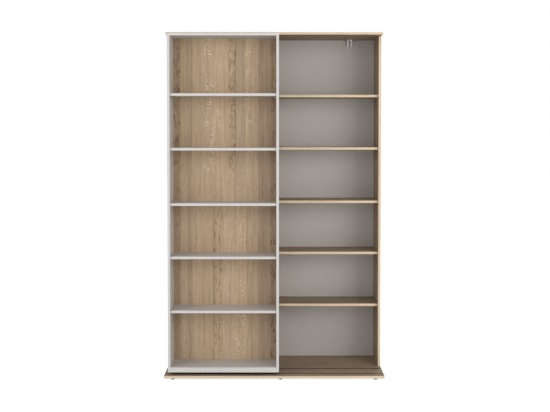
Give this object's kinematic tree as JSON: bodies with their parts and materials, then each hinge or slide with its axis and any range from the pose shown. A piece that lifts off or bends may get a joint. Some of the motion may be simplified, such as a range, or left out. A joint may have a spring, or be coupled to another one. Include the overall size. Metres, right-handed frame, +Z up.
{
  "type": "bookcase with sliding front unit",
  "caption": "Tall bookcase on a deep base board, with a narrower white shelf unit that rolls sideways in front of it on wheels in grooves.",
  "frame": {"origin": "on the floor, under the middle of the footprint, with the front unit at its left stop", "axes": "+X to the right as seen from the front, +Y from the open front to the back sheets, +Z up"},
  "size_m": [1.3, 0.4, 2.06],
  "materials": {
    "oak_decor": "satin melamine with an oak print",
    "white_melamine": "satin white melamine",
    "grey_hardboard": "printed hardboard, warm grey",
    "oak_hardboard": "printed hardboard, oak",
    "black_plastic": "moulded, matt black",
    "brown_plastic": "extruded, dark brown",
    "nylon": "moulded, natural white",
    "steel": "zinc plated",
    "clear_plastic": "moulded, milky clear"
  },
  "bodies": {
    "rear_case": {"base_board": "oak_decor", "groove_runner_front": "brown_plastic", "groove_runner_rear": "brown_plastic", "top_board": "oak_decor", "left_side_panel": "oak_decor", "right_side_panel": "oak_decor", "centre_divider": "oak_decor", "rear_back_sheet_left": "grey_hardboard", "rear_back_sheet_right": "grey_hardboard", "rear_shelf_left_1": "oak_decor", "rear_shelf_left_2": "oak_decor", "rear_shelf_left_3": "oak_decor", "rear_shelf_left_4": "oak_decor", "rear_shelf_left_5": "oak_decor", "rear_shelf_right_1": "oak_decor", "rear_shelf_right_2": "oak_decor", "rear_shelf_right_3": "oak_decor", "rear_shelf_right_4": "oak_decor", "rear_shelf_right_5": "oak_decor", "foot_front_left": "black_plastic", "foot_front_middle": "black_plastic", "foot_front_right": "black_plastic", "foot_rear_left": "black_plastic", "foot_rear_middle": "black_plastic", "foot_rear_right": "black_plastic", "wall_bracket_left": "clear_plastic", "wall_bracket_right": "clear_plastic"},
    "sliding_unit": {"unit_left_panel": "white_melamine", "unit_right_panel": "white_melamine", "unit_bottom": "white_melamine", "unit_plinth": "white_melamine", "unit_top": "white_melamine", "unit_back_sheet": "oak_hardboard", "unit_shelf_1": "white_melamine", "unit_shelf_2": "white_melamine", "unit_shelf_3": "white_melamine", "unit_shelf_4": "white_melamine", "unit_shelf_5": "white_melamine", "top_guide_left": "nylon", "top_guide_right": "nylon", "wheel_housing_front_left": "black_plastic", "wheel_housing_front_right": "black_plastic", "wheel_housing_rear_left": "black_plastic", "wheel_housing_rear_right": "black_plastic", "wheel_axle_front_left": "steel", "wheel_axle_front_right": "steel", "wheel_axle_rear_left": "steel", "wheel_axle_rear_right": "steel"},
    "front_left_wheel": {"wheel_front_left": "black_plastic"},
    "front_right_wheel": {"wheel_front_right": "black_plastic"},
    "rear_left_wheel": {"wheel_rear_left": "black_plastic"},
    "rear_right_wheel": {"wheel_rear_right": "black_plastic"}
  },
  "joints": [
    {"name": "unit_slide", "type": "slide", "parent": "rear_case", "child": "sliding_unit", "axis": [1, 0, 0], "range_m": [0, 0.6]},
    {"name": "front_left_wheel_turn", "type": "hinge", "parent": "sliding_unit", "child": "front_left_wheel", "pos_m": [-0.5675, -0.152, 0.0373], "axis": [0, 1, 0], "range_deg": [0, 2456]},
    {"name": "front_right_wheel_turn", "type": "hinge", "parent": "sliding_unit", "child": "front_right_wheel", "pos_m": [-0.0325, -0.152, 0.0373], "axis": [0, 1, 0], "range_deg": [0, 2456]},
    {"name": "rear_left_wheel_turn", "type": "hinge", "parent": "sliding_unit", "child": "rear_left_wheel", "pos_m": [-0.5675, -0.061, 0.0373], "axis": [0, 1, 0], "range_deg": [0, 2456]},
    {"name": "rear_right_wheel_turn", "type": "hinge", "parent": "sliding_unit", "child": "rear_right_wheel", "pos_m": [-0.0325, -0.061, 0.0373], "axis": [0, 1, 0], "range_deg": [0, 2456]}
  ],
  "couplings": [
    {"joint": "front_left_wheel_turn", "follows": "unit_slide", "rad_per_m": 71.429},
    {"joint": "front_right_wheel_turn", "follows": "unit_slide", "rad_per_m": 71.429},
    {"joint": "rear_left_wheel_turn", "follows": "unit_slide", "rad_per_m": 71.429},
    {"joint": "rear_right_wheel_turn", "follows": "unit_slide", "rad_per_m": 71.429}
  ]
}
